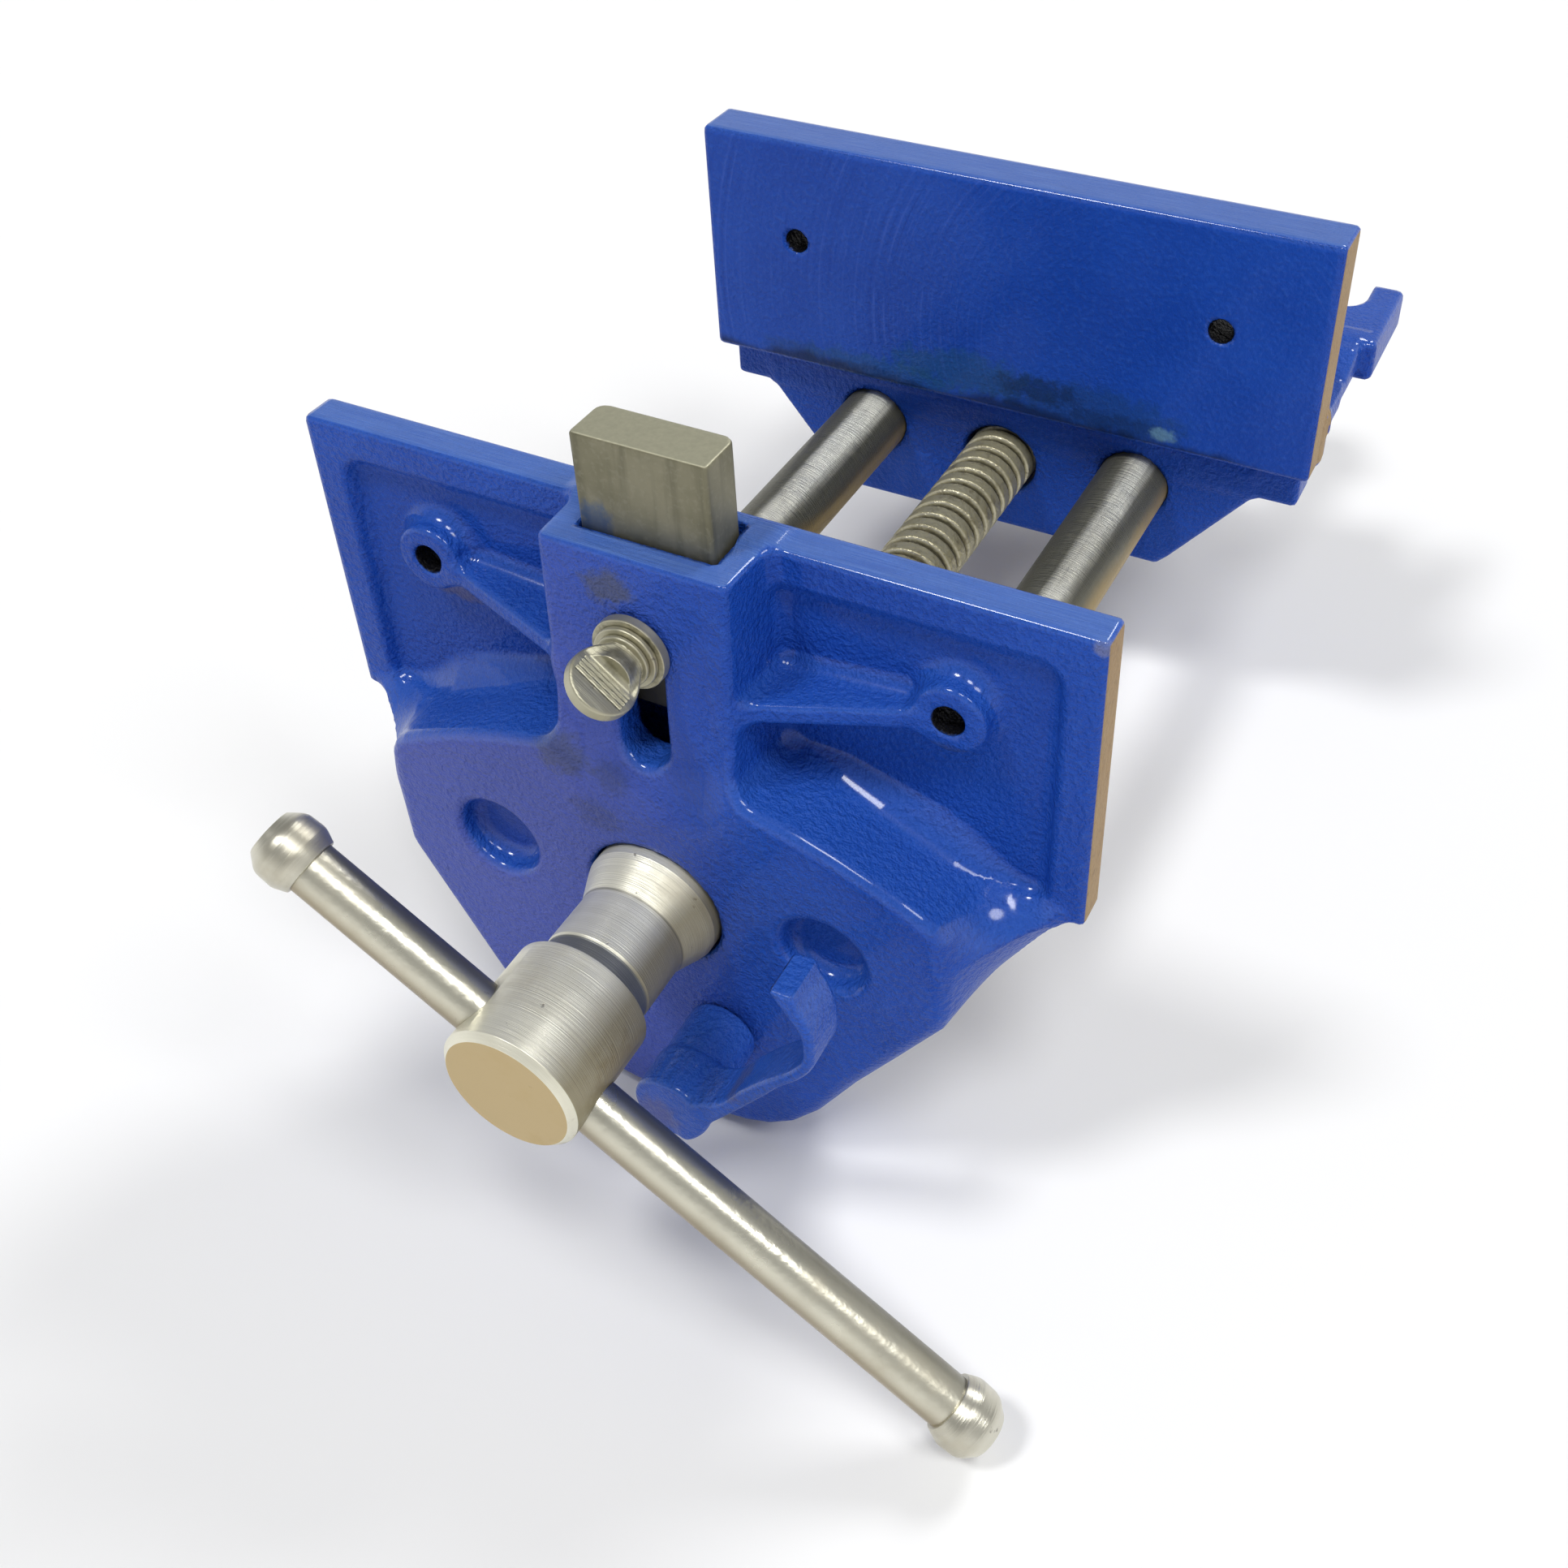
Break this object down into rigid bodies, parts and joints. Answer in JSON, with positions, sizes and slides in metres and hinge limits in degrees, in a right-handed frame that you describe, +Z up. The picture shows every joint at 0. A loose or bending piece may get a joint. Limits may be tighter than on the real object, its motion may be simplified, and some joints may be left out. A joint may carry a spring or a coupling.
{
  "type": "woodworking vise",
  "caption": "Bench vise with a screw and tommy bar, sliding front jaw on guide bars, raised bench dog and quick release lever, for mounting under a bench edge.",
  "frame": {"origin": "midway between the centres of the two mounting lugs' bolt slots, on the lugs' top faces", "axes": "+X to the operator's right along the jaws, +Y from the operator to the bench along the screw, +Z up"},
  "size_m": [0.194, 0.3854, 0.1791],
  "materials": {
    "blue_paint": "glossy enamel over rough cast iron",
    "bright_steel": "ground and lightly oiled",
    "turned_steel": "turned, with fine circular marks",
    "plated_steel": "zinc plated",
    "dark_steel": "blackened and oiled",
    "raw_iron": "machined and dull",
    "bronze": "cast bearing bronze"
  },
  "bodies": {
    "rear": {"rear_jaw": "blue_paint", "nut_pivot_pin": "bright_steel", "pivot_clip": "dark_steel"},
    "front": {"front_jaw": "blue_paint", "guide_bar_left": "bright_steel", "guide_bar_right": "bright_steel", "tie_plate": "blue_paint", "tie_washers": "plated_steel", "tie_nuts": "plated_steel", "screw_bush": "bronze", "rod_spring": "dark_steel"},
    "screw": {"lead_screw": "turned_steel", "thrust_collar": "dark_steel", "collar_pin": "dark_steel", "end_washer": "plated_steel", "split_pin": "plated_steel"},
    "tommy": {"tommy_bar": "turned_steel", "tommy_knob_left": "turned_steel", "tommy_knob_right": "turned_steel"},
    "dog": {"bench_dog": "raw_iron"},
    "washer": {"dog_washer": "plated_steel"},
    "lock_ring": {"dog_lock_ring": "plated_steel"},
    "thumb_screw": {"dog_thumb_screw": "plated_steel"},
    "lever": {"release_lever": "blue_paint", "release_rod": "bright_steel", "lever_pin": "dark_steel", "spring_collar": "dark_steel", "collar_grub_screw": "dark_steel"},
    "finger": {"release_finger": "dark_steel"},
    "nut": {"half_nut": "bronze"}
  },
  "joints": [
    {"name": "jaw_slide", "type": "slide", "parent": "rear", "child": "front", "axis": [0, 1, 0], "range_m": [-0.0476, 0.1551]},
    {"name": "screw_spin", "type": "hinge", "parent": "front", "child": "screw", "pos_m": [0, -0.2, -0.0375], "axis": [0, 1, 0], "range_deg": [-2850, 9300]},
    {"name": "tommy_slide", "type": "slide", "parent": "screw", "child": "tommy", "axis": [0.831, 0, -0.5563], "range_m": [-0.091, 0.041]},
    {"name": "dog_slide", "type": "slide", "parent": "front", "child": "dog", "axis": [0, 0, 1], "range_m": [-0.021, 0]},
    {"name": "washer_ride", "type": "slide", "parent": "dog", "child": "washer", "axis": [0, -1, 0], "range_m": [0, 0.0018]},
    {"name": "ring_back_off", "type": "slide", "parent": "washer", "child": "lock_ring", "axis": [0, -1, 0], "range_m": [0, 0.0025]},
    {"name": "thumb_spin", "type": "hinge", "parent": "lock_ring", "child": "thumb_screw", "pos_m": [0, -0.26, 0.03], "axis": [0, -1, 0], "range_deg": [0, 724]},
    {"name": "release_turn", "type": "hinge", "parent": "front", "child": "lever", "pos_m": [0.0165, -0.27, -0.072], "axis": [0, -1, 0], "range_deg": [0, 22], "stiffness_Nm_per_rad": 0.12, "springref_deg": -28.65},
    {"name": "finger_turn", "type": "hinge", "parent": "rear", "child": "finger", "pos_m": [0.0165, -0.03, -0.072], "axis": [0, -1, 0], "range_deg": [0, 22.1]},
    {"name": "nut_drop", "type": "hinge", "parent": "rear", "child": "nut", "pos_m": [-0.024, -0.03, -0.05], "axis": [0, 1, 0], "range_deg": [0, 9.8]}
  ],
  "couplings": [
    {"joint": "jaw_slide", "follows": "screw_spin", "m_per_rad": 0.00095493},
    {"joint": "washer_ride", "follows": "dog_slide", "ratio": -0.08},
    {"joint": "thumb_spin", "follows": "ring_back_off", "rad_per_m": 5026.6},
    {"joint": "finger_turn", "follows": "release_turn", "ratio": 1},
    {"joint": "nut_drop", "follows": "release_turn", "ratio": 0.44}
  ]
}
